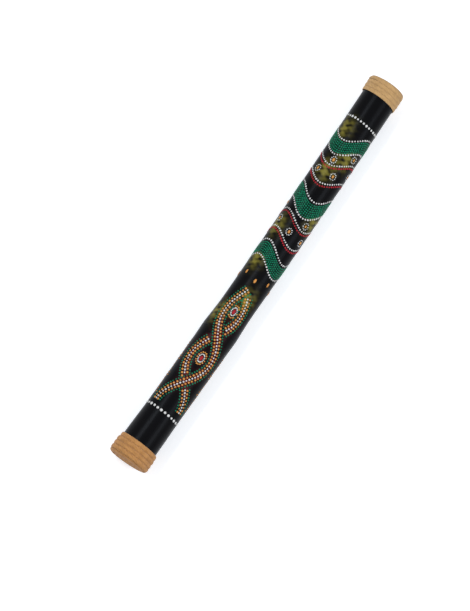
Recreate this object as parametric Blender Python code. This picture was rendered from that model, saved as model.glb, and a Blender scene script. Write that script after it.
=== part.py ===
"""A bamboo rain stick that lies on its side.

+X runs along the culm, from its thick foot to its thinner head, and +Z is up. The origin is
on the surface that the stick lies on, under the middle of the stick. Sizes are in metres.
"""

import math
from collections import namedtuple

import bmesh
import bpy
import numpy as np

# The whole stick
LENGTH = 0.610
BOW = 0.0033
CLEARANCE = 0.0003
CUTTER_MARGIN = 0.030
EDGE_ANGLE = math.radians(40)

# The culm: a bamboo tube with one swollen node, and a bore that was reamed smooth
CULM_SIDES = 32
CULM_STATIONS = 24
FOOT_RADIUS = 0.0256
LOWER_RADIUS = 0.0248
WAIST_RADIUS = 0.0234
HEAD_RADIUS = 0.0240
FOOT_TAPER_LENGTH = 0.055
NODE_X = -0.097
NODE_STEP_LENGTH = 0.044
NODE_SWELL = 0.0004
NODE_LENGTH = 0.011
WAIST_LENGTH = 0.110
BORE_RADIUS = 0.0193
END_ROUND = 0.0020
END_ROUND_STEPS = 2

# The wooden plugs that close the bore
PLUG_DEPTH = 0.022
PLUG_CHAMFER = 0.0015

# The skewers that cross the bore, each turned a step further than the last
PIN_COUNT = 40
PIN_DIAMETER = 0.0030
PIN_SIDES = 10
PIN_DIRECTIONS = 6
PIN_MARGIN = 0.028
PIN_SINK = 0.0002

# The loose grains
GRAIN_RADIUS = 0.0019
GRAIN_BREADTH = 0.90
GRAIN_THICKNESS = 0.80
LANE_ROUNDS = 4

# The cord that is wound round each end and coiled flat over it
CORD_LOOP_POINTS = 24
CORD_SIDES = 6
CORD_EDGE_ANGLE = math.radians(70)
TURN_GAP = 0.0005
CORD_TIP_HEIGHT = 0.0015
CORD_TIP_TURNS = 1.5
CORD_EYE_RADIUS = 0.0046
CORD_TAIL_TURN = math.radians(45)
FLAT_SHARE = 0.1
FOOT_CORD_WIDTH = 0.0058
FOOT_CORD_HEIGHT = 0.0032
FOOT_WRAP_LENGTH = 0.0279
HEAD_CORD_WIDTH = 0.0053
HEAD_CORD_HEIGHT = 0.0022
HEAD_WRAP_LENGTH = 0.0255
CORD_START_ASIDE = math.radians(45)

# Angles round the stick run from +Y towards +Z
BOTTOM_ANGLE = math.radians(270)

# One end of the stick: side is -1 at the foot and +1 at the head
End = namedtuple("End", "name side radius width height wrap_length")
FOOT = End("foot", -1, FOOT_RADIUS, FOOT_CORD_WIDTH, FOOT_CORD_HEIGHT, FOOT_WRAP_LENGTH)
HEAD = End("head", 1, HEAD_RADIUS, HEAD_CORD_WIDTH, HEAD_CORD_HEIGHT, HEAD_WRAP_LENGTH)
ENDS = (FOOT, HEAD)


def smooth_step(t):
    """0 below 0, 1 above 1, and the cubic 3t^2 - 2t^3 between."""
    t = np.clip(t, 0.0, 1.0)
    return t * t * (3.0 - 2.0 * t)


def culm_end_x(end):
    """Where the culm's own end face is, under the coil of cord."""
    return end.side * (LENGTH / 2 - end.height - CLEARANCE)


def culm_radius(x):
    """The culm's outer radius: it narrows past its foot, swells at the node, steps down there
    to its waist, and widens again towards its head."""
    foot_x = culm_end_x(FOOT) + FOOT_WRAP_LENGTH
    radius = FOOT_RADIUS + (LOWER_RADIUS - FOOT_RADIUS) * smooth_step((x - foot_x) / FOOT_TAPER_LENGTH)
    radius = radius + (WAIST_RADIUS - LOWER_RADIUS) * smooth_step((x - NODE_X) / NODE_STEP_LENGTH)
    waist_x = NODE_X + NODE_STEP_LENGTH
    radius = radius + (HEAD_RADIUS - WAIST_RADIUS) * smooth_step((x - waist_x) / WAIST_LENGTH)
    return radius + NODE_SWELL * np.exp(-(((x - NODE_X) / NODE_LENGTH) ** 2))


def flat_depth(end):
    """How deep the wrap is cut flat where the stick lies on it: a share of the cord's thickness."""
    return FLAT_SHARE * (end.width + end.height) / 2


def rest_x(end):
    """The middle of the wrap's outer half, where the cord has its full height."""
    return culm_end_x(end) - end.side * end.wrap_length / 4


def rest_height(end):
    """The height of the culm's centre over the surface, at the middle of the wrap."""
    return end.radius + CLEARANCE + end.height - flat_depth(end)


def centre_line(x):
    """The culm's centre at x: a shallow parabola sideways, and a straight line in height."""
    y = -BOW * (1.0 - (x / (LENGTH / 2)) ** 2)
    along = (x - rest_x(FOOT)) / (rest_x(HEAD) - rest_x(FOOT))
    z = rest_height(FOOT) + (rest_height(HEAD) - rest_height(FOOT)) * along
    return y, z


def straight_axis(x):
    """A straight line down the bore, midway between the extremes of its bow."""
    return -BOW / 2, centre_line(x)[1]


def plug_face_x(end):
    """The plug's inner face."""
    return culm_end_x(end) - end.side * PLUG_DEPTH


def make_material(name, colour, roughness):
    material = bpy.data.materials.new(name)
    material.use_nodes = True
    shader = material.node_tree.nodes["Principled BSDF"]
    shader.inputs["Base Color"].default_value = (*colour, 1.0)
    shader.inputs["Roughness"].default_value = roughness
    shader.inputs["Metallic"].default_value = 0.0
    material.diffuse_color = (*colour, 1.0)
    return material


def add_object(name, mesh, material=None):
    body = bpy.data.objects.new(name, mesh)
    bpy.context.scene.collection.objects.link(body)
    if material:
        mesh.materials.append(material)
    return body


def mesh_from_rings(name, rings, closed, edge_angle=EDGE_ANGLE):
    """A mesh whose rings of points follow one another: a torus if closed, or else capped."""
    count, sides = rings.shape[:2]
    index = np.arange(count * sides).reshape(count, sides)
    if closed:
        index = np.vstack([index, index[:1]])
    first, second = index[:-1], index[1:]
    quads = np.stack(
        [first, np.roll(first, -1, axis=1), np.roll(second, -1, axis=1), second], axis=-1
    )
    faces = quads.reshape(-1, 4).tolist()
    if not closed:
        faces.append(index[0][::-1].tolist())
        faces.append(index[-1].tolist())
    mesh = bpy.data.meshes.new(name)
    mesh.from_pydata(rings.reshape(-1, 3).tolist(), [], faces)
    tidy = bmesh.new()
    tidy.from_mesh(mesh)
    bmesh.ops.recalc_face_normals(tidy, faces=tidy.faces)
    tidy.to_mesh(mesh)
    tidy.free()
    mesh.shade_smooth()
    mesh.set_sharp_from_angle(angle=edge_angle)
    return mesh


def rings_along_stick(xs, radii):
    """Circles of the given radii, square to X and centred on the culm's centre line."""
    angles = np.arange(CULM_SIDES) * 2 * math.pi / CULM_SIDES
    y, z = centre_line(xs)
    rings = np.empty((len(xs), CULM_SIDES, 3))
    rings[:, :, 0] = xs[:, None]
    rings[:, :, 1] = y[:, None] + radii[:, None] * np.cos(angles)
    rings[:, :, 2] = z[:, None] + radii[:, None] * np.sin(angles)
    return rings


def add_cutter(name, mesh):
    """A shape that only cuts others, shown as wires."""
    cutter = add_object(name, mesh)
    cutter.hide_render = True
    cutter.display_type = "WIRE"
    return cutter


def cut(body, cutter):
    """Take the cutter's shape out of a body."""
    change = body.modifiers.new("cut by " + cutter.name, "BOOLEAN")
    change.operation = "DIFFERENCE"
    change.solver = "EXACT"
    change.object = cutter


def make_culm(material):
    """The bamboo tube: rings up its outside, with rounded ends, and back down its bore."""
    foot_x, head_x = culm_end_x(FOOT), culm_end_x(HEAD)
    turn = np.linspace(0.0, math.pi / 2, END_ROUND_STEPS + 1)
    foot_round_x = foot_x + END_ROUND * (1 - np.sin(turn))[::-1]
    foot_round_r = culm_radius(foot_x) - END_ROUND * (1 - np.cos(turn))[::-1]
    head_round_x = head_x - END_ROUND * (1 - np.sin(turn))
    head_round_r = culm_radius(head_x) - END_ROUND * (1 - np.cos(turn))
    between = np.linspace(foot_x + END_ROUND, head_x - END_ROUND, CULM_STATIONS)[1:-1]
    outer_x = np.concatenate([foot_round_x, between, head_round_x])
    outer_r = np.concatenate([foot_round_r, culm_radius(between), head_round_r])
    bore_x = np.linspace(head_x, foot_x, CULM_STATIONS // 2)
    bore_r = np.full(len(bore_x), BORE_RADIUS)
    rings = rings_along_stick(np.append(outer_x, bore_x), np.append(outer_r, bore_r))
    return add_object("culm", mesh_from_rings("culm", rings, closed=True), material)


def make_plug(end, material):
    """A turned disc of wood in the mouth of the bore, chamfered at its inner rim."""
    radius = BORE_RADIUS - CLEARANCE
    xs = culm_end_x(end) - end.side * np.array([0.0, PLUG_DEPTH - PLUG_CHAMFER, PLUG_DEPTH])
    radii = np.array([radius, radius, radius - PLUG_CHAMFER])
    name = end.name + "_plug"
    return add_object(name, mesh_from_rings(name, rings_along_stick(xs, radii), closed=False), material)


def pin_place(number):
    """The x of a pin, and its angle round the bore from +Y towards +Z."""
    first = plug_face_x(FOOT) + PIN_MARGIN
    last = plug_face_x(HEAD) - PIN_MARGIN
    step = math.pi / PIN_DIRECTIONS
    return first + (last - first) * number / (PIN_COUNT - 1), step * (number % PIN_DIRECTIONS + 0.5)


def wall_distance(x, angle):
    """From the straight axis to just under the culm's outer surface, in the direction of angle."""
    aside = centre_line(x)[0] - straight_axis(x)[0]
    radius = culm_radius(x) * math.cos(math.pi / CULM_SIDES) - PIN_SINK
    return aside * math.cos(angle) + math.sqrt(radius**2 - (aside * math.sin(angle)) ** 2)


def cylinder_mesh(name, radius, low, high):
    """A cylinder along Z, from low to high."""
    angles = (np.arange(PIN_SIDES) + 0.5) * 2 * math.pi / PIN_SIDES
    rings = np.empty((2, PIN_SIDES, 3))
    rings[:, :, 0] = radius * np.cos(angles)
    rings[:, :, 1] = radius * np.sin(angles)
    rings[:, :, 2] = [[low], [high]]
    return mesh_from_rings(name, rings, closed=False)


def place_across(body, x, angle):
    """Stand a body that was made along Z across the bore, at x and at an angle from +Y."""
    body.location = (x, *straight_axis(x))
    body.rotation_euler = (angle - math.pi / 2, 0.0, 0.0)


def make_pins(material):
    """The skewers: each goes through both walls and is cut just below the surface."""
    for number in range(PIN_COUNT):
        x, angle = pin_place(number)
        low = -wall_distance(x, angle + math.pi)
        high = wall_distance(x, angle)
        name = f"pin_{number + 1:02d}"
        pin = add_object(name, cylinder_mesh(name, PIN_DIAMETER / 2, low, high), material)
        place_across(pin, x, angle)


def make_pin_drill():
    """All the pins' holes as one shape: rods that reach well past the culm's wall."""
    drill = bmesh.new()
    reach = FOOT_RADIUS + CUTTER_MARGIN
    rod = cylinder_mesh("rod", PIN_DIAMETER / 2 + CLEARANCE, -reach, reach)
    for number in range(PIN_COUNT):
        x, angle = pin_place(number)
        before = len(drill.verts)
        drill.from_mesh(rod)
        drill.verts.ensure_lookup_table()
        y, z = straight_axis(x)
        # Z turned about X until it points along the pin
        along = np.array([0.0, math.cos(angle), math.sin(angle)])
        across = np.array([0.0, math.sin(angle), -math.cos(angle)])
        for vertex in drill.verts[before:]:
            place = np.array([x, y, z]) + vertex.co.y * across + vertex.co.z * along
            vertex.co = (place[0] + vertex.co.x, place[1], place[2])
    mesh = bpy.data.meshes.new("pin_drill")
    drill.to_mesh(mesh)
    drill.free()
    bpy.data.meshes.remove(rod)
    return add_cutter("pin_drill", mesh)


def lane_radius(angle):
    """How far from the straight axis a grain can run along the whole bowed bore."""
    room = BORE_RADIUS * math.cos(math.pi / CULM_SIDES) - CLEARANCE - GRAIN_RADIUS
    aside = BOW / 2
    return math.sqrt(room**2 - (aside * math.sin(angle)) ** 2) - aside * abs(math.cos(angle))


def lane_above(pin_angle, side):
    """The angle at which a grain lies against a pin: side is +1 for the lanes past the pin."""
    reach = PIN_DIAMETER / 2 + CLEARANCE + GRAIN_RADIUS
    angle = pin_angle + side * math.pi / PIN_DIRECTIONS / 2
    for _ in range(LANE_ROUNDS):
        angle = pin_angle + side * math.asin(reach / lane_radius(angle))
    return angle


def grain_places():
    """The rest x and lane angle of each grain: one at the bottom of the bore against the head
    plug, and one on each lower half of the last pins, where pin and wall make a pocket."""
    places = [(plug_face_x(HEAD) - CLEARANCE - GRAIN_RADIUS, BOTTOM_ANGLE)]
    for number in range(PIN_COUNT - PIN_DIRECTIONS, PIN_COUNT):
        x, angle = pin_place(number)
        low_angle = angle + math.pi
        side = 1 if low_angle > BOTTOM_ANGLE else -1
        places.append((x, lane_above(low_angle, side)))
    return places


def make_grains(material):
    """Small rounded pebbles, each with its origin on the line that it runs along."""
    for number, (x, angle) in enumerate(grain_places(), start=1):
        name = f"grain_{number}"
        ball = bmesh.new()
        bmesh.ops.create_icosphere(ball, subdivisions=2, radius=GRAIN_RADIUS)
        # every second pebble stands upright, and the others lie along the stick
        lying = (1.0, GRAIN_BREADTH, GRAIN_THICKNESS)
        upright = (GRAIN_BREADTH, GRAIN_THICKNESS, 1.0)
        bmesh.ops.scale(ball, vec=upright if number % 2 else lying, verts=ball.verts)
        mesh = bpy.data.meshes.new(name)
        ball.to_mesh(mesh)
        ball.free()
        mesh.shade_smooth()
        grain = add_object(name, mesh, material)
        y, z = straight_axis(x)
        radius = lane_radius(angle)
        grain.location = (x, y + radius * math.cos(angle), z + radius * math.sin(angle))


def cord_route(end):
    """The cord's centre, its outward and sideways directions, and its height at each point.

    It is followed by u, a length in the plane through the stick's axis: straight along the
    culm, a quarter circle round the culm's edge, and straight in over the end. The angle round
    the axis grows by one turn for each pitch of u. The cord's cut end is pressed flat.
    """
    pitch = end.width + TURN_GAP
    bend = END_ROUND + CLEARANCE + end.height / 2
    start_x = culm_end_x(end) - end.side * (end.wrap_length - end.width / 2)
    edge_x = culm_end_x(end) - end.side * END_ROUND
    side_length = abs(edge_x - start_x)
    bend_length = bend * math.pi / 2
    bend_radius = end.radius - END_ROUND
    whole = side_length + bend_length + bend_radius - CORD_EYE_RADIUS
    count = round(whole / pitch * CORD_LOOP_POINTS)
    turn = np.arange(count + 1) / CORD_LOOP_POINTS
    u = turn * pitch
    height = CORD_TIP_HEIGHT + (end.height - CORD_TIP_HEIGHT) * smooth_step(turn / CORD_TIP_TURNS)
    lean = np.clip((u - side_length) / bend, 0.0, math.pi / 2)
    side_run = np.minimum(u, side_length)
    face_run = np.maximum(u - side_length - bend_length, 0.0)
    x = start_x + end.side * (side_run + bend * np.sin(lean))
    r = bend_radius + bend * np.cos(lean) - face_run - (end.height - height) / 2
    angle = BOTTOM_ANGLE + end.side * (CORD_START_ASIDE - 2 * math.pi * turn)
    y, z = centre_line(x)
    around = np.stack([np.zeros_like(angle), np.cos(angle), np.sin(angle)], axis=1)
    along_x = np.array([1.0, 0.0, 0.0])
    centre = np.stack([x, y, z], axis=1) + r[:, None] * around
    out = np.cos(lean)[:, None] * around + end.side * np.sin(lean)[:, None] * along_x
    across = end.side * np.cos(lean)[:, None] * along_x - np.sin(lean)[:, None] * around
    return centre, out, across, height


def with_straight_ends(route, end):
    """The route with both ends run on straight for one cord thickness; the inner one turns
    into the eye of the coil first, clear of the turn round it."""
    centre, out, across, height = route
    run = (end.width + end.height) / 2
    before = centre[0] - centre[1]
    before = before - out[0] * (before @ out[0])
    first = centre[0] + before / np.linalg.norm(before) * run
    onward = centre[-1] - centre[-2]
    onward = onward - out[-1] * (onward @ out[-1])
    onward = onward / np.linalg.norm(onward)
    inward = np.cross(out[-1], onward)
    inward = inward * np.sign(inward @ across[-1])
    tail = math.cos(CORD_TAIL_TURN) * onward + math.sin(CORD_TAIL_TURN) * inward
    last_across = math.cos(CORD_TAIL_TURN) * inward - math.sin(CORD_TAIL_TURN) * onward
    middle_across = across[-1] + last_across
    middle_across = middle_across / np.linalg.norm(middle_across)
    centre = np.vstack([first, centre, centre[-1] + tail * run])
    out = np.vstack([out[0], out, out[-1]])
    across = np.vstack([across[0], across[:-1], middle_across, last_across])
    height = np.concatenate([height[:1], height, height[-1:]])
    return centre, out, across, height


def cord_rings(route, end):
    """Six-sided rings round the route, flat on their inner and outer sides."""
    centre, out, across, height = route
    angles = np.arange(CORD_SIDES) * 2 * math.pi / CORD_SIDES
    flat = np.sin(angles) / np.sin(angles).max()
    rings = centre[:, None, :] + across[:, None, :] * (end.width / 2 * np.cos(angles))[None, :, None]
    return rings + out[:, None, :] * (height[:, None] / 2 * flat[None, :])[:, :, None]


def least_gap(rings):
    """The least distance between points that lie more than half a loop apart on the cord."""
    points = rings.reshape(-1, 3)
    loop = np.repeat(np.arange(len(rings)), rings.shape[1])
    least = math.inf
    for start in range(0, len(points), CORD_SIDES):
        others = points[loop > loop[start] + CORD_LOOP_POINTS // 2]
        if len(others):
            apart = np.linalg.norm(points[start : start + CORD_SIDES, None] - others[None], axis=2)
            least = min(least, apart.min())
    return least


def make_wrap(end, material, floor):
    """The cord of one end as one unbroken tube, cut flat where the stick lies on it."""
    route = with_straight_ends(cord_route(end), end)
    rings = cord_rings(route, end)
    steps = np.linalg.norm(np.diff(route[0], axis=0), axis=1)
    print(f"{end.name} cord: {steps.sum():.3f} m long, {(len(rings) - 3) / CORD_LOOP_POINTS:.2f} loops")
    print(f"{end.name} cord: least gap to itself {least_gap(rings) * 1000:.2f} mm")
    name = end.name + "_cord_wrap"
    mesh = mesh_from_rings(name, rings, closed=False, edge_angle=CORD_EDGE_ANGLE)
    cut(add_object(name, mesh, material), floor)


def make_floor_cutter():
    """A slab under the surface that the stick lies on, wider and longer than the stick."""
    slab = bmesh.new()
    bmesh.ops.create_cube(slab, size=1.0)
    size = (LENGTH + 2 * CUTTER_MARGIN, 2 * (FOOT_RADIUS + CUTTER_MARGIN), CUTTER_MARGIN)
    bmesh.ops.scale(slab, vec=size, verts=slab.verts)
    bmesh.ops.translate(slab, vec=(0.0, 0.0, -CUTTER_MARGIN / 2), verts=slab.verts)
    mesh = bpy.data.meshes.new("floor_cutter")
    slab.to_mesh(mesh)
    slab.free()
    return add_cutter("floor_cutter", mesh)


def main():
    for old in list(bpy.data.objects):
        bpy.data.objects.remove(old, do_unlink=True)
    lacquer = make_material("black_lacquered_bamboo", (0.012, 0.012, 0.014), 0.22)
    wood = make_material("plug_wood", (0.42, 0.27, 0.13), 0.6)
    skewer = make_material("skewer_bamboo", (0.55, 0.40, 0.20), 0.55)
    pebble = make_material("pebble", (0.30, 0.27, 0.23), 0.6)
    cords = {
        FOOT: make_material("foot_cord_fibre", (0.48, 0.26, 0.10), 0.85),
        HEAD: make_material("head_cord_fibre", (0.55, 0.35, 0.16), 0.85),
    }
    culm = make_culm(lacquer)
    cut(culm, make_pin_drill())
    make_pins(skewer)
    make_grains(pebble)
    floor = make_floor_cutter()
    for end in ENDS:
        make_plug(end, wood)
        make_wrap(end, cords[end], floor)


main()
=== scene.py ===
# %% [markdown]
# A rain stick is a bamboo tube that is crossed by skewers and holds loose pebbles, which trickle
# past the skewers when it is turned over. This lesson dresses the working model of one: gloss
# black paint, a dot painting in raised beads, twisted cord round both ends, and bare wood where
# it shows. The working model's own pieces stay where they are.

# %% Load the frame
import math

import bpy
import numpy as np
from mathutils import Matrix, Vector


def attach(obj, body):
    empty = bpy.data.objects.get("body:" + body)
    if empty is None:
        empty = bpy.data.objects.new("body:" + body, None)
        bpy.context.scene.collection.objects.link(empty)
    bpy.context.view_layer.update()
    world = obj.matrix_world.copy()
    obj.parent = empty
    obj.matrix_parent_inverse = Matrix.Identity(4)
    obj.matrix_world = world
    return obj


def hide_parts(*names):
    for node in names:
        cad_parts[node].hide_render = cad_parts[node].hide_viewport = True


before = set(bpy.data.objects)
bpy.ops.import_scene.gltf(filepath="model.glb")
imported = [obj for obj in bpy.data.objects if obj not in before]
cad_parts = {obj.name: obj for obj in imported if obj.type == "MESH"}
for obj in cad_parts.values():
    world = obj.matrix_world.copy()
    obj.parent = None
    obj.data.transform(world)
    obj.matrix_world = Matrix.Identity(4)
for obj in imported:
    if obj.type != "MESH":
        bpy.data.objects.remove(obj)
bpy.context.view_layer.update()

# %% [markdown]
# The sizes below are the stick's own driving sizes in metres. The fine surfaces are worked out
# from them again, because a smooth tube needs many more points than the working model has. X
# runs along the stick from its thick foot to its thinner head.

# %% Sizes of the culm
LENGTH = 0.610
BOW = 0.0033
GLUE_GAP = 0.0003
FOOT_RADIUS = 0.0256
LOWER_RADIUS = 0.0248
WAIST_RADIUS = 0.0234
HEAD_RADIUS = 0.0240
FOOT_TAPER_LENGTH = 0.055
NODE_X = -0.097
NODE_STEP_LENGTH = 0.044
NODE_SWELL = 0.0004
NODE_LENGTH = 0.011
WAIST_LENGTH = 0.110
BORE_RADIUS = 0.0193
END_ROUND = 0.0020
TAU = 2 * math.pi
TOP = math.radians(90)
HALF_TURNS = (0, math.pi)

# %% [markdown]
# One cord is wound round each end. Both are given by the same few sizes: which end, the culm's
# radius there, the cord's width and height, and how far the wrap reaches along the culm. A cord
# starts as a thin tip, lies in turns with a small gap, and ends at a small eye.

# %% Sizes of the two cords
TURN_GAP = 0.0005
TIP_HEIGHT = 0.0015
TIP_TURNS = 1.5
EYE_RADIUS = 0.0046
TAIL_TURN = math.radians(45)
START_ASIDE = math.radians(45)
FLAT_SHARE = 0.1
FOOT = {"side": -1, "radius": FOOT_RADIUS, "width": 0.0058, "height": 0.0032, "wrap": 0.0279}
HEAD = {"side": 1, "radius": HEAD_RADIUS, "width": 0.0053, "height": 0.0022, "wrap": 0.0255}


# %% [markdown]
# A real culm is not a plain cylinder: it tapers, steps in at its node and bows a little. It could
# be shaped ring by ring by hand. Here its radius and its centre line are formulas of x instead,
# so that the paint, the dots and the cords can all ask where the surface is.

# %% Lines that everything follows
def smooth_step(t):
    """0 below 0, 1 above 1, and the cubic 3t^2 - 2t^3 between."""
    t = np.clip(t, 0.0, 1.0)
    return t * t * (3.0 - 2.0 * t)


def end_x(end):
    """The culm's end face: half the length, less the cord's height and the glue."""
    return end["side"] * (LENGTH / 2 - end["height"] - GLUE_GAP)


def culm_radius(x):
    """The foot's radius, changed by three smooth steps, plus a bell curve at the node."""
    past_foot = (x - end_x(FOOT) - FOOT["wrap"]) / FOOT_TAPER_LENGTH
    radius = FOOT_RADIUS + (LOWER_RADIUS - FOOT_RADIUS) * smooth_step(past_foot)
    radius = radius + (WAIST_RADIUS - LOWER_RADIUS) * smooth_step((x - NODE_X) / NODE_STEP_LENGTH)
    past_waist = (x - NODE_X - NODE_STEP_LENGTH) / WAIST_LENGTH
    radius = radius + (HEAD_RADIUS - WAIST_RADIUS) * smooth_step(past_waist)
    return radius + NODE_SWELL * np.exp(-(((x - NODE_X) / NODE_LENGTH) ** 2))


def rest_x(end):
    """The middle of the wrap's outer half, which the stick lies on."""
    return end_x(end) - end["side"] * end["wrap"] / 4


def rest_height(end):
    """Culm radius, glue and cord height, less the flat that the cord is pressed to."""
    flat = FLAT_SHARE * (end["width"] + end["height"]) / 2
    return end["radius"] + GLUE_GAP + end["height"] - flat


def centre_line(x):
    """Sideways a shallow parabola, and in height a straight line between the two rests."""
    share = (x - rest_x(FOOT)) / (rest_x(HEAD) - rest_x(FOOT))
    z = rest_height(FOOT) + (rest_height(HEAD) - rest_height(FOOT)) * share
    return -BOW * (1.0 - (x / (LENGTH / 2)) ** 2), z


def on_culm(x, angle, lift=0.0):
    """A point at x, turned by angle from +Y towards +Z, at the culm's radius plus lift."""
    y, z = centre_line(x)
    radius = culm_radius(x) + lift
    return np.stack([x, y + radius * np.cos(angle), z + radius * np.sin(angle)], axis=-1)


print("radius at foot, node and head:", [
    round(float(culm_radius(x)) * 1000, 1) for x in (end_x(FOOT), NODE_X, end_x(HEAD))], "mm")


# %% [markdown]
# Every new piece is a set of points and faces. One helper turns them into an object. It works
# out the volume that the faces enclose: if that is negative, the shape is inside out, so all
# its faces are turned round.

# %% Make a mesh piece
def enclosed_volume(points, triangles):
    """The sum over triangles of a . (b x c) / 6."""
    a, b, c = (points[triangles[:, k]] for k in range(3))
    return np.einsum("ij,ij->i", a, np.cross(b, c)).sum() / 6


def add_piece(name, points, quads, triangles, material):
    """An object at the origin whose faces are the given quads and triangles, facing outwards."""
    split = np.vstack([quads[:, [0, 1, 2]], quads[:, [0, 2, 3]], triangles])
    if enclosed_volume(points, split) < 0:
        quads, triangles = quads[:, ::-1], triangles[:, ::-1]
    mesh = bpy.data.meshes.new(name)
    mesh.from_pydata(points.tolist(), [], quads.tolist() + triangles.tolist())
    mesh.shade_smooth()
    mesh.materials.append(material)
    piece = bpy.data.objects.new(name, mesh)
    bpy.context.scene.collection.objects.link(piece)
    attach(piece, "root")
    print(name, "has", len(split), "triangles")
    return piece


def grid_quads(rows, columns, closed_rows=False):
    """Quads between neighbouring rows of a grid whose columns close round."""
    index = np.arange(rows * columns).reshape(rows, columns)
    if closed_rows:
        index = np.vstack([index, index[:1]])
    low, high = index[:-1], index[1:]
    corners = [low, np.roll(low, -1, 1), np.roll(high, -1, 1), high]
    return np.stack(corners, axis=-1).reshape(-1, 4)


def end_fans(rows, columns):
    """Triangles that close the first and last rows to two centre points put after the grid."""
    ring = np.arange(columns)
    after = np.roll(ring, -1)
    last = (rows - 1) * columns
    first_centre = np.full(columns, rows * columns)
    start = np.stack([first_centre, after, ring], axis=-1)
    stop = np.stack([first_centre + 1, last + ring, last + after], axis=-1)
    return np.vstack([start, stop])


# %% [markdown]
# A finish is built from nodes. These helpers keep that short: one makes a node and sets its
# properties, one makes a group with named sockets, and one mixes two colours.

# %% Node helpers
COLOUR, NUMBER, VECTOR = "NodeSocketColor", "NodeSocketFloat", "NodeSocketVector"


def link(tree, source, target):
    """Join an output socket to an input socket."""
    tree.links.new(source, target)


def new_node(tree, kind, **values):
    """A node of the given kind, with its properties set by name."""
    node = tree.nodes.new(kind)
    for name, value in values.items():
        setattr(node, name, value)
    return node


def new_group(name, inputs, outputs):
    """A node group whose sockets are given as (name, type, default) and (name, type)."""
    tree = bpy.data.node_groups.new(name, "ShaderNodeTree")
    for label, kind, default in inputs:
        socket = tree.interface.new_socket(label, in_out="INPUT", socket_type=kind)
        socket.default_value = default
    for label, kind in outputs:
        tree.interface.new_socket(label, in_out="OUTPUT", socket_type=kind)
    return tree, tree.nodes.new("NodeGroupInput"), tree.nodes.new("NodeGroupOutput")


def mix_colours(tree, factor, first, second):
    """A colour between two others. Sockets and plain values are both taken."""
    node = new_node(tree, "ShaderNodeMix", data_type="RGBA")
    sockets = (node.inputs[0], node.inputs[6], node.inputs[7])
    for socket, value in zip(sockets, (factor, first, second)):
        if hasattr(value, "links"):
            link(tree, value, socket)
        else:
            socket.default_value = value
    return node.outputs[2]


# %% [markdown]
# Wood grain, bamboo fibre and a pebble's mottling are all noise that is drawn out more or less
# along the stick. A picture could be wrapped round each piece, but noise worked out from its
# Object coordinates has no seam and stays sharp from close by. One group serves them all: it
# puts out only a colour and a height, and each material gives it two colours and a stretch.

# %% A group for streaks
def make_streaks():
    """Noise stretched along X: its colour runs from Dark to Light, and Height is the noise."""
    inputs = [("Dark", COLOUR, (0, 0, 0, 1)), ("Light", COLOUR, (1, 1, 1, 1))]
    inputs += [("Stretch", VECTOR, (20, 400, 400))]
    tree, entry, out = new_group("streaks", inputs, [("Colour", COLOUR), ("Height", NUMBER)])
    place = new_node(tree, "ShaderNodeTexCoord")
    scale = new_node(tree, "ShaderNodeVectorMath", operation="MULTIPLY")
    noise = new_node(tree, "ShaderNodeTexNoise")
    noise.inputs["Scale"].default_value = 1.0
    noise.inputs["Detail"].default_value = 5.0
    link(tree, place.outputs["Object"], scale.inputs[0])
    link(tree, entry.outputs["Stretch"], scale.inputs[1])
    link(tree, scale.outputs[0], noise.inputs["Vector"])
    colour = mix_colours(tree, noise.outputs[0], entry.outputs["Dark"], entry.outputs["Light"])
    link(tree, colour, out.inputs["Colour"])
    link(tree, noise.outputs[0], out.inputs["Height"])
    return tree


streaks = make_streaks()


# %% [markdown]
# The Principled shader stays in each material, and its plain values are set on its own sockets.
# On the stick only a colour and a bump come to it from other nodes. A roughness that changes over
# the surface could come too, but the paint and the cords look right without one.

# %% Materials to start from
def new_material(name, roughness, specular):
    """A material with its Principled shader's plain values set on the shader itself."""
    material = bpy.data.materials.new(name)
    material.use_nodes = True
    shader = material.node_tree.nodes["Principled BSDF"]
    shader.inputs["Roughness"].default_value = roughness
    shader.inputs["Specular IOR Level"].default_value = specular
    return material, material.node_tree, shader


def add_bump(tree, shader, height, distance):
    """Tilt the shader's normal by a height, which is worth a distance in metres."""
    bump = new_node(tree, "ShaderNodeBump")
    bump.inputs["Distance"].default_value = distance
    link(tree, height, bump.inputs["Height"])
    link(tree, bump.outputs["Normal"], shader.inputs["Normal"])


def streaked_material(name, dark, light, stretch, roughness, specular, depth):
    """A finish whose colour and relief come from the streaks group."""
    material, tree, shader = new_material(name, roughness, specular)
    group = new_node(tree, "ShaderNodeGroup", node_tree=streaks)
    group.inputs["Dark"].default_value = (*dark, 1)
    group.inputs["Light"].default_value = (*light, 1)
    group.inputs["Stretch"].default_value = stretch
    link(tree, group.outputs["Colour"], shader.inputs["Base Color"])
    add_bump(tree, shader, group.outputs["Height"], depth)
    return material


# %% [markdown]
# The painting is generic dot work, laid out for this model: two plaited streams of orange, white
# and green dots over the thick half, and wavy green bands with red and white lines over the
# other. Places on the culm are an x along it and an angle round it. Each wavy line is a function
# of twice the angle, so it closes on itself and looks the same on the front and the back.

# %% Where the painting lies
FOOT_RING_X = -0.2269
HEAD_RING_X = 0.2393
RING_SLANT = 0.0018
MEAN_RADIUS = 0.0242
STREAM_START, STREAM_STOP = -0.216, -0.0285
STREAM_WAVE = 0.150
STREAM_REACHES = (math.radians(46), math.radians(24))
# Middle, half of the width, reach of the wave, and its phase.
GREEN_BANDS = ((0.020, 0.0095, 0.0095, 0.0), (0.112, 0.0110, 0.0110, 1.3),
               (0.205, 0.0090, 0.0100, 2.4))


def stream_angle(x, which):
    """Swings to and fro round the top as a cosine whose reach shrinks towards the middle."""
    share = (x - STREAM_START) / (STREAM_STOP - STREAM_START)
    reach = STREAM_REACHES[0] * (1 - share) + STREAM_REACHES[1] * share
    return TOP + which * reach * np.cos(TAU * (x - STREAM_START) / STREAM_WAVE)


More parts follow.
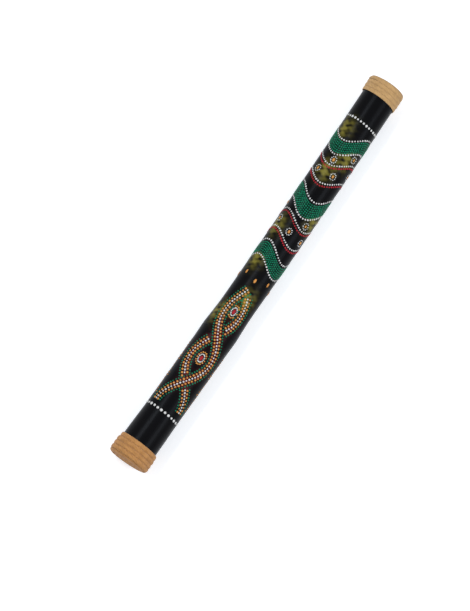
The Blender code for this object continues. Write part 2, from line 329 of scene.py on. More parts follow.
def wave_x(middle, reach, phase, angle):
    """A line round the culm that waves twice: middle + reach * sin(2 * angle + phase)."""
    return middle + reach * np.sin(2 * angle + phase)


# %% [markdown]
# The dabs of olive, the dark red haze and the green grounds are thin washes of paint with soft
# edges. They have no thickness to model, so they are a colour attribute on the culm's points.
# Raised dots are real beads, made further down.

# %% Washes of colour under the dots
BLACK = np.array([0.0024, 0.0024, 0.0030])
OLIVE = np.array([0.190, 0.160, 0.026])
DARK_RED = np.array([0.100, 0.010, 0.012])
DEEP_GREEN = np.array([0.002, 0.014, 0.009])
OLIVE_PLACES = (-0.075, -0.045, 0.012, 0.064, 0.092, 0.160, 0.186, 0.222)
OLIVE_ASIDE = 1.1
OLIVE_LENGTH = 0.013
OLIVE_TURN = 0.42
OLIVE_COVER = 1.5
RED_TURN = 0.30
RED_RISE = 0.04
RED_END_X = -0.04
RED_FADE = 0.05
GREEN_EDGE = 0.002


def mottle(x, angle):
    """Two products of crossed sine waves, the second times 0.6, clipped between 0 and 1."""
    first = np.sin(410 * x + 3 * angle) * np.sin(7 * angle - 230 * x)
    return np.clip(0.5 + 0.5 * (first + 0.6 * np.sin(900 * x) * np.sin(13 * angle)), 0, 1)


def wash(colour, paint, amount):
    """Mix a paint into the colours by an amount at each point."""
    amount = np.clip(amount, 0, 1)[..., None]
    return colour * (1 - amount) + paint * amount


def turned_from(angle, other):
    """The turn from one angle to another, between minus and plus half a turn."""
    return (angle - other + math.pi) % TAU - math.pi


def add_olive(colour, x, angle, rough):
    """Dabs: a bell curve along the stick times one round it, times the mottle."""
    draw = np.random.default_rng(11)
    for middle in OLIVE_PLACES:
        for half_turn in HALF_TURNS:
            aside = draw.uniform(-OLIVE_ASIDE, OLIVE_ASIDE) + TOP + half_turn
            turn = turned_from(angle, aside)
            bell = np.exp(-(((x - middle) / OLIVE_LENGTH) ** 2) - (turn / OLIVE_TURN) ** 2)
            colour = wash(colour, OLIVE, OLIVE_COVER * bell * rough)
    return colour


def add_red_haze(colour, x, angle, rough):
    """A bell curve across each stream, let in and out along it by smooth steps."""
    inside = smooth_step((x - STREAM_START) / RED_RISE) * smooth_step((RED_END_X - x) / RED_FADE)
    for half_turn in HALF_TURNS:
        for which in (-1, 1):
            turn = turned_from(angle, stream_angle(x, which) + half_turn)
            haze = np.exp(-((turn / RED_TURN) ** 2))
            colour = wash(colour, DARK_RED, haze * inside * rough)
    return colour


def add_green_grounds(colour, x, angle):
    """Cover rises by a smooth step inwards from the edge of each wavy band."""
    for middle, half, reach, phase in GREEN_BANDS:
        aside = np.abs(x - wave_x(middle, reach, phase, angle)) - half
        colour = wash(colour, DEEP_GREEN, smooth_step(-aside / GREEN_EDGE))
    return colour


def painted_ground(x, angle):
    """The colour at each place: black, then olive, red haze and green grounds over it."""
    rough = mottle(x, angle)
    colour = np.broadcast_to(BLACK, (*x.shape, 3)).copy()
    colour = add_olive(colour, x, angle, rough)
    colour = add_red_haze(colour, x, angle, rough)
    return add_green_grounds(colour, x, angle)


# %% [markdown]
# Gloss paint over bamboo is smooth but not flat. Long fibre lines still show through it as a very
# slight relief, which breaks up the highlight along the tube, so the streaks group gives it a
# bump and no colour.

# %% The gloss paint
def lacquer_material():
    """Gloss paint: the wash attribute for colour, fibre streaks for relief."""
    material, tree, shader = new_material("black_lacquer", roughness=0.27, specular=0.045)
    washes = new_node(tree, "ShaderNodeVertexColor", layer_name="washes")
    group = new_node(tree, "ShaderNodeGroup", node_tree=streaks)
    group.inputs["Stretch"].default_value = (14, 700, 700)
    link(tree, washes.outputs["Color"], shader.inputs["Base Color"])
    add_bump(tree, shader, group.outputs["Height"], distance=0.00012)
    return material


# %% [markdown]
# The culm is one closed surface: rings along the outside, rounded edges, and rings back along
# the bore, which bows with it. It could be a cylinder that is bent and subdivided, but rings that
# are worked out can lie closest at the node, where a real culm has a fine groove that is too
# narrow for the working model. The holes for the skewers are painted over on the real stick, so
# none shows here.

# %% The painted culm
CULM_COLUMNS = 176
CULM_ROWS = 380
BORE_ROWS = 24
EDGE_ROWS = 7
NODE_ROWS = 24
NODE_REACH = 0.004
GROOVE_DEPTH = 0.00022
GROOVE_WIDTH = 0.0008
SHARP_ANGLE = math.radians(50)


def culm_profile():
    """x and radius from the foot's edge along the outside to the head, and back in the bore."""
    foot_x, head_x = end_x(FOOT), end_x(HEAD)
    turn = np.linspace(0, math.pi / 2, EDGE_ROWS)
    edge = END_ROUND * (1 - np.cos(turn))
    along = END_ROUND * (1 - np.sin(turn))
    inner = np.linspace(foot_x + END_ROUND, head_x - END_ROUND, CULM_ROWS)[1:-1]
    near_node = np.linspace(NODE_X - NODE_REACH, NODE_X + NODE_REACH, NODE_ROWS)
    inner = np.unique(np.concatenate([inner, near_node]))
    groove = GROOVE_DEPTH * np.exp(-(((inner - NODE_X) / GROOVE_WIDTH) ** 2))
    bore = np.linspace(head_x, foot_x, BORE_ROWS)
    x = np.concatenate([foot_x + along[::-1], inner, head_x - along, bore])
    foot_edge, head_edge = culm_radius(foot_x) - edge[::-1], culm_radius(head_x) - edge
    inside = np.full(BORE_ROWS, BORE_RADIUS)
    return x, np.concatenate([foot_edge, culm_radius(inner) - groove, head_edge, inside])


def make_culm():
    """Circles at the profile's radii round the centre line, with the washes as an attribute."""
    x, radius = culm_profile()
    angle = np.arange(CULM_COLUMNS) * TAU / CULM_COLUMNS
    spread_x, spread_angle = np.meshgrid(x, angle, indexing="ij")
    y, z = centre_line(x)
    across, upwards = radius[:, None] * np.cos(angle), radius[:, None] * np.sin(angle)
    points = np.stack([spread_x, y[:, None] + across, z[:, None] + upwards], axis=-1)
    points = points.reshape(-1, 3)
    quads = grid_quads(len(x), CULM_COLUMNS, closed_rows=True)
    no_triangles = np.empty((0, 3), int)
    paint = lacquer_material()
    culm = add_piece("painted_culm", points, quads, no_triangles, paint)
    colour = np.ones((len(points), 4), np.float32)
    colour[:, :3] = painted_ground(spread_x, spread_angle).reshape(-1, 3)
    layer = culm.data.color_attributes.new("washes", "FLOAT_COLOR", "POINT")
    layer.data.foreach_set("color", colour.ravel())
    culm.data.set_sharp_from_angle(angle=SHARP_ANGLE)
    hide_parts("culm")


make_culm()

# %% [markdown]
# A dot is a drop of thick paint: round, a little domed, and fixed to the tube. It could be a spot
# of colour with a bump, but real dots stand out at the tube's edge and catch the light, so they
# are geometry. These helpers only note where they go, and the beads are made further down. A row
# of dots follows a line, spaced evenly by its length on the culm's surface, and a dot that would
# land on an earlier one is left out.

# %% Rows and fields of dots
placed = [np.empty((0, 3))]
beads = {"white": [], "orange": [], "green": [], "red": []}
DOT_ROOM = 0.82
DOT_SIZES = (0.84, 1.14)
DOT_SHIFT = 0.00012
DOT_TURN = 0.004
RING_MARGIN = 0.0006


def dots_so_far():
    """All the dots laid so far, as rows of x, arc length round the culm, and radius."""
    return np.vstack(placed)


def has_room(x, angle, radius):
    """Whether each dot is further from every earlier dot than a share of their two radii."""
    x, angle, radius = np.atleast_1d(x, angle, radius)
    earlier = dots_so_far()
    gap = np.abs((angle % TAU)[:, None] * MEAN_RADIUS - earlier[None, :, 1])
    gap = np.minimum(gap, TAU * MEAN_RADIUS - gap)
    apart = np.hypot(x[:, None] - earlier[None, :, 0], gap)
    return (apart > DOT_ROOM * (radius[:, None] + earlier[None, :, 2])).all(axis=1)


def keep_clear(x, angle, radius):
    """Note the dots that have room, and say which they are."""
    free = has_room(x, angle, radius)
    arc = (angle % TAU) * MEAN_RADIUS
    placed.append(np.stack([x, arc, radius], axis=-1)[free])
    return free


def lay_dots(colour, x, angle, radius, longer=1.0):
    """Add dots, each a little off in size and place. Longer stretches them along the stick."""
    x, angle = np.atleast_1d(x, angle)
    draw = np.random.default_rng(len(dots_so_far()) + 1)
    radius = radius * draw.uniform(*DOT_SIZES, len(x))
    x = x + draw.normal(0, DOT_SHIFT, len(x))
    angle = angle + draw.normal(0, DOT_TURN, len(x))
    slant = RING_SLANT * np.cos(angle)
    past_foot_ring = x > FOOT_RING_X + slant - RING_MARGIN
    before_head_ring = x < HEAD_RING_X + slant + RING_MARGIN
    inside = past_foot_ring & before_head_ring
    x, angle, radius = x[inside], angle[inside], radius[inside]
    free = keep_clear(x, angle, radius)
    stretch = np.full(free.sum(), longer)
    beads[colour].append(np.stack([x[free], angle[free], radius[free], stretch], axis=-1))


def row(colour, x, angle, pitch, radius):
    """Dots at even steps of length along a line given by many points."""
    arc = angle * MEAN_RADIUS
    length = np.concatenate([[0], np.cumsum(np.hypot(np.diff(x), np.diff(arc)))])
    count = max(2, round(length[-1] / pitch))
    steps = np.linspace(0, length[-1], count, endpoint=False)
    lay_dots(colour, np.interp(steps, length, x), np.interp(steps, length, angle), radius)


def beside(x, angle, offset):
    """The same line moved sideways by an offset, square to its own direction on the surface."""
    arc = angle * MEAN_RADIUS
    dx, da = np.gradient(x), np.gradient(arc)
    size = np.hypot(dx, da)
    return x - offset * da / size, (arc + offset * dx / size) / MEAN_RADIUS


# %% [markdown]
# A ring of white dots at each end closes the painting off from the bare black. The two streams
# come next. Each is five rows side by side. Where they cross, the second one is left out near
# the first, so that it seems to pass under.

# %% Rings and streams
# x, number of dots, and radius.
RINGS = ((FOOT_RING_X, 26, 0.00190), (HEAD_RING_X, 31, 0.00165))
# Colour, offset from the stream's middle, pitch, and radius.
STREAM_ROWS = (("white", 0.0, 0.0041, 0.00125),
               ("orange", 0.0033, 0.0045, 0.00140), ("orange", -0.0033, 0.0045, 0.00140),
               ("green", 0.0066, 0.0037, 0.00105), ("green", -0.0066, 0.0037, 0.00105))
STREAM_POINTS = 300
STREAM_ROOM = 0.0086


def paint_rings():
    """Dots at even angles on a slanted ring, whose x goes as the cosine of the angle."""
    for ring_x, count, radius in RINGS:
        angle = np.arange(count) * TAU / count
        lay_dots("white", ring_x + RING_SLANT * np.cos(angle), angle, radius)


def paint_stream(x, angle, seen):
    """Rows side by side along a line, over each stretch of it that is seen."""
    edges = np.flatnonzero(np.diff(np.concatenate([[0], seen.astype(int), [0]])))
    for start, stop in edges.reshape(-1, 2):
        for colour, offset, pitch, radius in STREAM_ROWS:
            row_x, row_angle = beside(x, angle, offset)
            row(colour, row_x[start:stop], row_angle[start:stop], pitch, radius)


def paint_streams():
    """Two lines that cross. The second is seen only where the first is far enough away."""
    x = np.linspace(STREAM_START, STREAM_STOP, STREAM_POINTS)
    first, second = stream_angle(x, -1), stream_angle(x, 1)
    clear = np.abs(second - first) * MEAN_RADIUS > STREAM_ROOM
    for half_turn in HALF_TURNS:
        paint_stream(x, first + half_turn, np.full(len(x), True))
        paint_stream(x, second + half_turn, clear)


paint_rings()
paint_streams()
print("rings and streams:", len(dots_so_far()), "dots so far")

# %% [markdown]
# The streams leave two eye shapes between them. Each is filled with a medallion, a long red dot
# inside two ovals.

# %% Medallions
MEDALLION_X = (-0.141, -0.066)
# Colour, number of dots, reach along the stick, and radius.
MEDALLION_OVALS = (("white", 15, 0.0058, 0.0009), ("orange", 15, 0.0090, 0.0011))
MEDALLION_SQUEEZE = 0.62


def paint_medallions():
    """Ovals: reach times the cosine along the stick, and a share of it times the sine across."""
    for x in MEDALLION_X:
        for half_turn in HALF_TURNS:
            middle = TOP + half_turn
            lay_dots("red", x, middle, radius=0.0022, longer=1.9)
            for colour, count, reach, radius in MEDALLION_OVALS:
                turn = np.arange(count) * TAU / count
                across = MEDALLION_SQUEEZE * reach * np.sin(turn) / MEAN_RADIUS
                lay_dots(colour, x + reach * np.cos(turn), middle + across, radius)


paint_medallions()
print("medallions:", len(dots_so_far()), "dots so far")

# %% [markdown]
# A green band is a field of small dots in even rows with a white row along both edges. A ribbon
# is a red row and a white one. Both follow the same kind of wave round the culm, so one helper
# lays a row on it.

# %% Green bands and ribbons
ALL_ROUND = np.linspace(0, TAU, 400)
BORDER_ASIDE = 0.0022
FIELD_START = 0.0010
FIELD_PITCH = 0.0031
# Middle, reach of the wave, and its phase.
RIBBONS = ((0.050, 0.0085, 0.4), (0.078, 0.0085, 0.4), (0.146, 0.0090, 1.9),
           (0.173, 0.0090, 2.2))
RIBBON_WIDTH = 0.0040


def wavy_row(colour, middle, reach, phase, pitch, radius):
    """One row of dots on a wave round the culm."""
    row(colour, wave_x(middle, reach, phase, ALL_ROUND), ALL_ROUND, pitch, radius)


def paint_bands():
    """White rows just outside both edges, and green rows at even steps between them."""
    for middle, half, reach, phase in GREEN_BANDS:
        for offset in (-half - BORDER_ASIDE, half + BORDER_ASIDE):
            wavy_row("white", middle + offset, reach, phase, pitch=0.0038, radius=0.00120)
        for offset in np.arange(-half + FIELD_START, half, FIELD_PITCH):
            wavy_row("green", middle + offset, reach, phase, FIELD_PITCH, radius=0.00108)


def paint_ribbons():
    """A red row, and a white one beside it on the same wave."""
    for middle, reach, phase in RIBBONS:
        wavy_row("red", middle, reach, phase, pitch=0.0034, radius=0.00130)
        wavy_row("white", middle + RIBBON_WIDTH, reach, phase, pitch=0.0036, radius=0.00115)


paint_bands()
paint_ribbons()
print("bands and ribbons:", len(dots_so_far()), "dots so far")

# %% [markdown]
# The free spaces get small motifs: drops in the middle of the stick, rosettes between the
# ribbons, and chevrons on the two flanks beside the streams. A rosette that doesn't have room
# as a whole is left out, because half a rosette looks like stray dots.

# %% Drops, rosettes and chevrons
DROP_COUNT = 8
DROP_X = -0.0165
DROP_STAGGER = 0.006
# Middle, reach and phase of the wave that they sit on, and the first one's angle.
ROSETTES = ((0.066, 0.0085, 0.4, 0.5), (0.0904, 0.0098, 0.85, 0.1),
            (0.1615, 0.0090, 2.05, 0.8), (0.1854, 0.0095, 2.3, 0.3))
ROSETTES_ROUND = 6
ROSETTE_ROOM = 0.0070
ROSETTE_DOTS = 10
ROSETTE_ALONG, ROSETTE_ACROSS = 0.0046, 0.0040
CHEVRON_TIPS = (-0.176, -0.150, -0.124)
CHEVRON_LENGTH = 0.036
CHEVRON_SPREAD = 0.42
ARM_POINTS = 40


def paint_drops():
    """Long dots at even angles round the culm, every second one moved along."""
    for number in range(DROP_COUNT):
        x = DROP_X + DROP_STAGGER * (number % 2)
        lay_dots("orange", x, TOP + number * TAU / DROP_COUNT, radius=0.0017, longer=2.0)


def paint_rosettes():
    """On each wave, an oval dot inside an oval of small ones, wherever that has room."""
    turn = np.arange(ROSETTE_DOTS) * TAU / ROSETTE_DOTS
    for middle, reach, phase, first in ROSETTES:
        for angle in first + np.arange(ROSETTES_ROUND) * TAU / ROSETTES_ROUND:
            x = wave_x(middle, reach, phase, angle)
            if has_room(x, angle, ROSETTE_ROOM)[0]:
                lay_dots("orange", x, angle, radius=0.0016, longer=1.5)
                oval_angle = angle + ROSETTE_ACROSS * np.sin(turn) / MEAN_RADIUS
                lay_dots("white", x + ROSETTE_ALONG * np.cos(turn), oval_angle, radius=0.0008)


def paint_chevrons():
    """Two straight arms from each tip, which spread evenly along the stick and round it."""
    arm = np.linspace(0, 1, ARM_POINTS)
    for half_turn in HALF_TURNS:
        for tip in CHEVRON_TIPS:
            for lean in (-1, 1):
                arm_angle = half_turn + lean * CHEVRON_SPREAD * arm
                row("orange", tip - CHEVRON_LENGTH * arm, arm_angle, pitch=0.0047, radius=0.00105)


paint_drops()
paint_rosettes()
paint_chevrons()
print({colour: sum(len(some) for some in rows) for colour, rows in beads.items()}, "dots")

# %% [markdown]
# There are about three thousand dots, so each bead is coarse: eight sides, three rings and a top
# point. Its foot is sunk a little into the paint, so that no gap shows on the curved tube. All
# the beads of one colour are one piece.

# %% Turn the dots into beads
BEAD_SIDES = 8
BEAD_RISE = 0.38
BEAD_SINK = 0.00015
# Share of the bead's radius, height in metres, and share of its rise.
BEAD_LEVELS = ((1.0, -BEAD_SINK, 0.0), (1.0, 0.0, 0.30), (0.66, 0.0, 0.84))
BEAD_PAINTS = {
    "white": ((0.76, 0.74, 0.70), (0.52, 0.50, 0.46)),
    "orange": ((0.74, 0.34, 0.085), (0.46, 0.17, 0.035)),
    "green": ((0.008, 0.235, 0.115), (0.004, 0.120, 0.058)),
    "red": ((0.46, 0.024, 0.034), (0.24, 0.012, 0.018)),
}


def bead_material(name, colour, shade):
    """Thick acrylic paint, a little mottled, with a soft sheen."""
    material, tree, shader = new_material(name, roughness=0.50, specular=0.08)
    place = new_node(tree, "ShaderNodeTexCoord")
    noise = new_node(tree, "ShaderNodeTexNoise")
    noise.inputs["Scale"].default_value = 420
    link(tree, place.outputs["Object"], noise.inputs["Vector"])
    mixed = mix_colours(tree, noise.outputs[0], (*shade, 1), (*colour, 1))
    link(tree, mixed, shader.inputs["Base Color"])
    add_bump(tree, shader, noise.outputs[0], distance=0.00010)
    return material


def bead_points(x, angle, radius, longer):
    """Per bead, a ring at each level, straight up, then in to 0.66, and two middle points."""
    turn = np.arange(BEAD_SIDES) * TAU / BEAD_SIDES
    columns = []
    for share, height, rise in BEAD_LEVELS:
        along = share * (radius * longer)[:, None] * np.cos(turn)
        around = share * radius[:, None] * np.sin(turn) / MEAN_RADIUS
        lift = height + rise * BEAD_RISE * radius[:, None]
        columns.append(on_culm(x[:, None] + along, angle[:, None] + around, lift))
    foot = on_culm(x, angle, -BEAD_SINK)[:, None]
    top = on_culm(x, angle, BEAD_RISE * radius)[:, None]
    return np.concatenate([*columns, foot, top], axis=1)


def make_beads(colour):
    """One bead's faces, repeated for every bead with its points' numbers moved on."""
    x, angle, radius, longer = np.vstack(beads[colour]).T
    points = bead_points(x, angle, radius, longer)
    shift = (np.arange(len(x)) * points.shape[1])[:, None, None]
    quads = (grid_quads(len(BEAD_LEVELS), BEAD_SIDES)[None] + shift).reshape(-1, 4)
    triangles = (end_fans(len(BEAD_LEVELS), BEAD_SIDES)[None] + shift).reshape(-1, 3)
    paint = bead_material(colour + "_paint", *BEAD_PAINTS[colour])
    points = points.reshape(-1, 3)
    add_piece(colour + "_dots", points, quads, triangles, paint)


for colour in beads:
    make_beads(colour)

# %% [markdown]
# Each cord's route is the working model's own: up the side in turns, over the shoulder and in a
# flat spiral to a small eye. It could be a curve object with a round bevel, but a cord that is
# glued down is wider than it is high, and leans over at the shoulder. So each point of the route
# also has its own directions outwards and across, and its own height.

# %% The cord's route
STEPS_PER_TURN = 260
END_STEPS = 14


def cord_route(end):
    """Turns at a steady pitch, whose side view is a line, a quarter circle and a line inwards."""
    side, height_full = end["side"], end["height"]
    pitch = end["width"] + TURN_GAP
    bend = END_ROUND + GLUE_GAP + height_full / 2
    start_x = end_x(end) - side * (end["wrap"] - end["width"] / 2)
    side_length = abs(end_x(end) - side * END_ROUND - start_x)
    bend_length = bend * math.pi / 2
    bend_radius = end["radius"] - END_ROUND
    whole = side_length + bend_length + bend_radius - EYE_RADIUS
    turn = np.linspace(0, whole / pitch, round(whole / pitch * STEPS_PER_TURN))
    run = turn * pitch
    height = TIP_HEIGHT + (height_full - TIP_HEIGHT) * smooth_step(turn / TIP_TURNS)
    lean = np.clip((run - side_length) / bend, 0, math.pi / 2)
    inward = np.maximum(run - side_length - bend_length, 0)
    x = start_x + side * (np.minimum(run, side_length) + bend * np.sin(lean))
    radius = bend_radius + bend * np.cos(lean) - inward - (height_full - height) / 2
    angle = math.radians(270) + side * (START_ASIDE - TAU * turn)
    y, z = centre_line(x)
    around = np.stack([0 * angle, np.cos(angle), np.sin(angle)], axis=1)
    along = np.array([1.0, 0.0, 0.0])
    centre = np.stack([x, y, z], axis=1) + radius[:, None] * around
    out = np.cos(lean)[:, None] * around + side * np.sin(lean)[:, None] * along
    across = side * np.cos(lean)[:, None] * along - np.sin(lean)[:, None] * around
    return centre, out, across, height


def unit(vector):
    """The same direction with a length of 1."""
    return vector / np.linalg.norm(vector, axis=-1, keepdims=True)


def with_ends(route, end):
    """Both ends run on straight for one cord thickness, and the inner one turns to the eye."""
    centre, out, across, height = route
    run = np.linspace(0, (end["width"] + end["height"]) / 2, END_STEPS + 1)[1:, None]
    before = centre[0] - centre[1]
    before = unit(before - out[0] * (before @ out[0]))
    onward = centre[-1] - centre[-2]
    onward = unit(onward - out[-1] * (onward @ out[-1]))
    inward = np.cross(out[-1], onward)
    inward = inward * np.sign(inward @ across[-1])
    bent = TAIL_TURN * smooth_step(np.linspace(0, 1, END_STEPS))[:, None]
    tail = np.cos(bent) * onward + np.sin(bent) * inward
    tail_across = np.cos(bent) * inward - np.sin(bent) * onward
    tail_centre = centre[-1] + np.cumsum(tail * run[0], axis=0)
    centre = np.vstack([centre[0] + run[::-1] * before, centre, tail_centre])
    out = np.vstack([np.tile(out[0], (END_STEPS, 1)), out, np.tile(out[-1], (END_STEPS, 1))])
    across = np.vstack([np.tile(across[0], (END_STEPS, 1)), across, tail_across])
    height = np.pad(height, END_STEPS, mode="edge")
    return centre, out, across, height


# %% [markdown]
# The fibres of a twisted cord cross it at a slant, and patches of it are paler than others. Both
# must follow the cord round the stick, so they are read from a UV map of its own, in
# millimetres along it and round it, and not from Object coordinates.

# %% The cord's fibres
FIBRE_SLANT = math.radians(24)
FIBRE_STRETCH = (0.12, 1.5, 1.0)
THREAD_CONTRAST = 1.5
PATCH_CONTRAST = 0.7
FIBRE_SHADE = -0.60


def make_fibre_group():
    """Colour between Dark and Light by 1.5 threads + 0.7 patches - 0.60. Height is the threads."""
    inputs = [("Dark", COLOUR, (0, 0, 0, 1)), ("Light", COLOUR, (1, 1, 1, 1))]
    tree, entry, out = new_group("fibres", inputs, [("Colour", COLOUR), ("Height", NUMBER)])
    uv = new_node(tree, "ShaderNodeUVMap", uv_map="cord")
    turned = new_node(tree, "ShaderNodeMapping")
    turned.inputs["Rotation"].default_value = (0, 0, FIBRE_SLANT)
    fine = new_node(tree, "ShaderNodeVectorMath", operation="MULTIPLY")
    fine.inputs[1].default_value = FIBRE_STRETCH
    threads = new_node(tree, "ShaderNodeTexNoise")
    threads.inputs["Scale"].default_value = 1.0
    threads.inputs["Detail"].default_value = 4.0
    patches = new_node(tree, "ShaderNodeTexNoise")
    patches.inputs["Scale"].default_value = 0.16
    link(tree, uv.outputs["UV"], turned.inputs["Vector"])
    link(tree, turned.outputs["Vector"], fine.inputs[0])
    link(tree, fine.outputs[0], threads.inputs["Vector"])
    link(tree, uv.outputs["UV"], patches.inputs["Vector"])
    mixed = new_node(tree, "ShaderNodeMath", operation="MULTIPLY_ADD")
    mixed.inputs[1].default_value = THREAD_CONTRAST
    link(tree, threads.outputs[0], mixed.inputs[0])
    lower = new_node(tree, "ShaderNodeMath", operation="MULTIPLY_ADD")
    lower.inputs[1].default_value = PATCH_CONTRAST
    lower.inputs[2].default_value = FIBRE_SHADE
    link(tree, patches.outputs[0], lower.inputs[0])
    link(tree, lower.outputs[0], mixed.inputs[2])
    colour = mix_colours(tree, mixed.outputs[0], entry.outputs["Dark"], entry.outputs["Light"])
    link(tree, colour, out.inputs["Colour"])
    link(tree, threads.outputs[0], out.inputs["Height"])
    return tree


fibres = make_fibre_group()


def fibre_material(name, dark, light):
    """Dry natural fibre: rough, with a little sheen."""
    material, tree, shader = new_material(name, roughness=0.86, specular=0.16)
    shader.inputs["Sheen Weight"].default_value = 0.15
    group = new_node(tree, "ShaderNodeGroup", node_tree=fibres)
    group.inputs["Dark"].default_value = (*dark, 1)
    group.inputs["Light"].default_value = (*light, 1)
    link(tree, group.outputs["Colour"], shader.inputs["Base Color"])
    add_bump(tree, shader, group.outputs["Height"], distance=0.0008)
    return material


# %% [markdown]
# The cord is two strands of natural fibre laid round each other and pressed together. Its
# section is two circles side by side that nearly coincide, turned a little further at each step,
# which gives the softly scalloped edge of real twisted cord. Neighbouring turns are pressed into
# each other, and the cord is flat where the stick lies on it.

# %% The twisted cords
LAY = 0.0080
STRAND_SPREAD = 0.10
PRESS = 0.00016
CORD_SIDES = 24
MILLIMETRES = 1000


def cord_points(route, length, half_width, side):
    """Rings of two circles' outline, s|cos t| + sqrt(1 - (s sin t)^2), turned by the lay."""
    centre, out, across, height = route
    theta = np.arange(CORD_SIDES) * TAU / CORD_SIDES
    lay = theta[None, :] - side * TAU * length[:, None] / LAY
    lobe = STRAND_SPREAD * np.abs(np.cos(lay)) + np.sqrt(1 - (STRAND_SPREAD * np.sin(lay)) ** 2)
    lobe = lobe / (1 + STRAND_SPREAD)
    ring = across[:, None] * (half_width * lobe * np.cos(theta))[..., None]
    ring = ring + out[:, None] * (height[:, None] / 2 * lobe * np.sin(theta))[..., None]
    points = (centre[:, None] + ring).reshape(-1, 3)
    points = np.vstack([points, centre[:1], centre[-1:]])
    points[:, 2] = np.maximum(points[:, 2], 0.0)
    return points


def add_cord_map(cord, length, half_width):
    """A UV map in millimetres: the length along the cord, and the arc round it."""
    theta = np.arange(CORD_SIDES) * TAU / CORD_SIDES
    along = np.append(np.repeat(length, CORD_SIDES), [0, length[-1]]) * MILLIMETRES
    arc = np.append(np.tile(theta, len(length)), [0, 0]) * half_width * MILLIMETRES
    corners = np.empty(len(cord.data.loops), np.int32)
    cord.data.loops.foreach_get("vertex_index", corners)
    layer = cord.data.uv_layers.new(name="cord")
    layer.data.foreach_set("uv", np.stack([along[corners], arc[corners]], -1).ravel())


def make_cord(name, end, material):
    """Rings at every step of the route, closed at both ends."""
    route = with_ends(cord_route(end), end)
    steps = np.linalg.norm(np.diff(route[0], axis=0), axis=1)
    length = np.concatenate([[0], np.cumsum(steps)])
    half_width = (end["width"] + TURN_GAP) / 2 + PRESS
    points = cord_points(route, length, half_width, end["side"])
    quads, fans = grid_quads(len(length), CORD_SIDES), end_fans(len(length), CORD_SIDES)
    cord = add_piece(name, points, quads, fans, material)
    add_cord_map(cord, length, half_width)
    print(name, "is", round(length[-1], 3), "m long")
    return cord


foot_fibre = fibre_material("foot_cord", dark=(0.31, 0.132, 0.037), light=(0.645, 0.318, 0.106))
head_fibre = fibre_material("head_cord", dark=(0.38, 0.216, 0.080), light=(0.69, 0.417, 0.177))
foot_cord = make_cord("foot_twisted_cord", FOOT, foot_fibre)
head_cord = make_cord("head_twisted_cord", HEAD, head_fibre)
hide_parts("foot_cord_wrap")
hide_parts("head_cord_wrap")

# %% [markdown]
# The plugs, skewers and pebbles have the right shape already, so they only get a finish. Most
# of them are out of sight in the closed stick, but they are there when it is taken apart.

# %% Finishes inside the stick
plug_wood = streaked_material(
    "plug_wood", dark=(0.24, 0.13, 0.055), light=(0.52, 0.33, 0.16), stretch=(60, 260, 900),
    roughness=0.62, specular=0.3, depth=0.0002)
skewer = streaked_material(
    "skewer", dark=(0.40, 0.27, 0.12), light=(0.66, 0.49, 0.26), stretch=(900, 200, 200),
    roughness=0.55, specular=0.3, depth=0.0001)
pebble = streaked_material(
    "pebble", dark=(0.16, 0.14, 0.12), light=(0.42, 0.38, 0.33), stretch=(900, 900, 900),
    roughness=0.55, specular=0.4, depth=0.0002)
FINISHES = {
    "plug": (plug_wood, "plug_wood"),
    "pin": (skewer, "skewer"),
    "grain": (pebble, "pebble"),
}
finished = dict.fromkeys(FINISHES, 0)
for name, node in sorted(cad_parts.items()):
    for word, (material, slot) in FINISHES.items():
        if name.startswith(word) or name.endswith("_" + word):
            node.data.materials.clear()
            node.data.materials.append(material)
            finished[word] += 1
print("pieces that got a finish:", finished)


# %% [markdown]
# The stick lies on a plain white floor under two long soft lamps, one to each side. Their
# reflections are the two pale bands along the black paint. The floor and the sky are white to
# the camera and to reflections, and dimmer as light, so colours keep their own depth.

# %% Floor, lamps and sky
FLOOR_REACH = 6.0
FLOOR_GLOW = 0.40
LAMP_DISTANCE = 1.4
LAMP_LENGTH = 1.4
LAMP_COLOUR = (0.80, 0.88, 1.0)
SKY_LIGHT = 0.46


def ray_kinds(tree):
    """1 for a camera, glossy or transmission ray, and 0 for the rest."""
    path = new_node(tree, "ShaderNodeLightPath")
    first = new_node(tree, "ShaderNodeMath", operation="MAXIMUM")
    both = new_node(tree, "ShaderNodeMath", operation="MAXIMUM")
    link(tree, path.outputs["Is Camera Ray"], first.inputs[0])
    link(tree, path.outputs["Is Glossy Ray"], first.inputs[1])
    link(tree, first.outputs[0], both.inputs[0])
    link(tree, path.outputs["Is Transmission Ray"], both.inputs[1])
    return both.outputs[0]


def make_floor():
    """A flat square at the height that the stick lies on."""
    ways = ((-1, -1), (1, -1), (1, 1), (-1, 1))
    corners = [(FLOOR_REACH * x, FLOOR_REACH * y, 0) for x, y in ways]
    mesh = bpy.data.meshes.new("floor")
    mesh.from_pydata(corners, [], [(0, 1, 2, 3)])
    material, tree, shader = new_material("floor_white", roughness=0.9, specular=0.0)
    shader.inputs["Base Color"].default_value = (0.9, 0.9, 0.9, 1)
    shader.inputs["Emission Color"].default_value = (1, 1, 1, 1)
    glow = new_node(tree, "ShaderNodeMath", operation="MULTIPLY")
    glow.inputs[1].default_value = FLOOR_GLOW
    link(tree, ray_kinds(tree), glow.inputs[0])
    link(tree, glow.outputs[0], shader.inputs["Emission Strength"])
    mesh.materials.append(material)
    floor = bpy.data.objects.new("floor", mesh)
    bpy.context.scene.collection.objects.link(floor)


def make_lamp(name, angle, width, power):
    """A long soft lamp over the stick, leaned over by an angle from straight up."""
    data = bpy.data.lights.new(name, "AREA")
    data.shape = "RECTANGLE"
    data.size, data.size_y = LAMP_LENGTH, width
    data.energy = power
    data.color = LAMP_COLOUR
    lamp = bpy.data.objects.new(name, data)
    away = Vector((0, math.sin(angle), math.cos(angle)))
    lamp.location = away * LAMP_DISTANCE
    lamp.rotation_euler = (-angle, 0, 0)
    bpy.context.scene.collection.objects.link(lamp)
    print(name, "gives", power, "W")


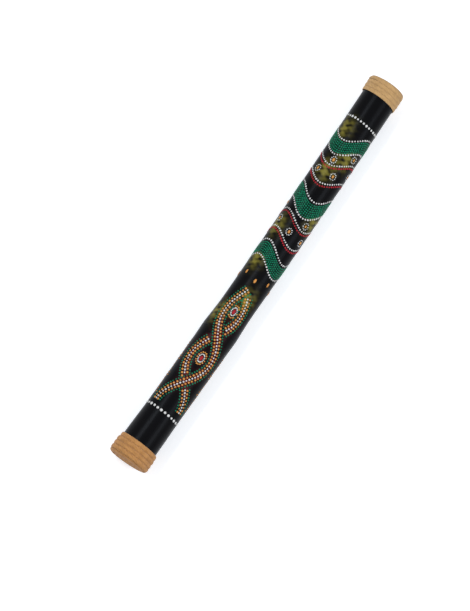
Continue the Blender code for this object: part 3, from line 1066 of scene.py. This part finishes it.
def make_sky():
    """A white world, at full strength only for the rays that see it as a background."""
    world = bpy.data.worlds.new("sky")
    bpy.context.scene.world = world
    world.use_nodes = True
    tree = world.node_tree
    background = tree.nodes["Background"]
    strength = new_node(tree, "ShaderNodeMapRange")
    strength.inputs["To Min"].default_value = SKY_LIGHT
    strength.inputs["To Max"].default_value = 1.0
    link(tree, ray_kinds(tree), strength.inputs["Value"])
    background.inputs["Color"].default_value = (1, 1, 1, 1)
    link(tree, strength.outputs[0], background.inputs["Strength"])


make_floor()
make_lamp("lamp_left", angle=math.radians(31), width=0.36, power=12)
make_lamp("lamp_right", angle=math.radians(-44), width=0.55, power=10)
make_sky()

# %% [markdown]
# The camera looks almost straight down from five metres away, leaned nine degrees towards the
# foot, and is rolled so that the stick climbs to the upper right. It could be aimed by hand, but
# the stick's middle has a known place in the picture, so the camera's own is worked out from it.

# %% Camera
PHOTO_HEIGHT = 611
METRES_PER_PIXEL = 0.0013146
STICK_CENTRE_PIXEL = (260.7, 273.4)
PHOTO_CENTRE_PIXEL = (235.0, 305.5)
CAMERA_DISTANCE = 5.0
CAMERA_LEAN = math.radians(9)
STICK_CLIMB = math.radians(55.23)
CLIP_END = 100


def make_camera():
    """Right and up are the stick's own directions in the picture, turned back by its climb."""
    back = Vector((-math.sin(CAMERA_LEAN), 0, math.cos(CAMERA_LEAN)))
    along = (Vector((1, 0, 0)) - back * back.x).normalized()
    aside = back.cross(along)
    right = math.cos(STICK_CLIMB) * along - math.sin(STICK_CLIMB) * aside
    up = math.sin(STICK_CLIMB) * along + math.cos(STICK_CLIMB) * aside
    target = Vector((0, *(float(v) for v in centre_line(0.0))))
    target += right * (PHOTO_CENTRE_PIXEL[0] - STICK_CENTRE_PIXEL[0]) * METRES_PER_PIXEL
    target -= up * (PHOTO_CENTRE_PIXEL[1] - STICK_CENTRE_PIXEL[1]) * METRES_PER_PIXEL
    data = bpy.data.cameras.new("camera")
    data.lens = CAMERA_DISTANCE / METRES_PER_PIXEL * data.sensor_width / PHOTO_HEIGHT
    data.clip_end = CLIP_END
    camera = bpy.data.objects.new("camera", data)
    turn = Matrix((right, up, back)).transposed().to_4x4()
    camera.matrix_world = Matrix.Translation(target + back * CAMERA_DISTANCE) @ turn
    bpy.context.scene.collection.objects.link(camera)
    bpy.context.scene.camera = camera
    print("lens", round(data.lens, 1), "mm")


make_camera()
bpy.context.scene.view_settings.view_transform = "Standard"
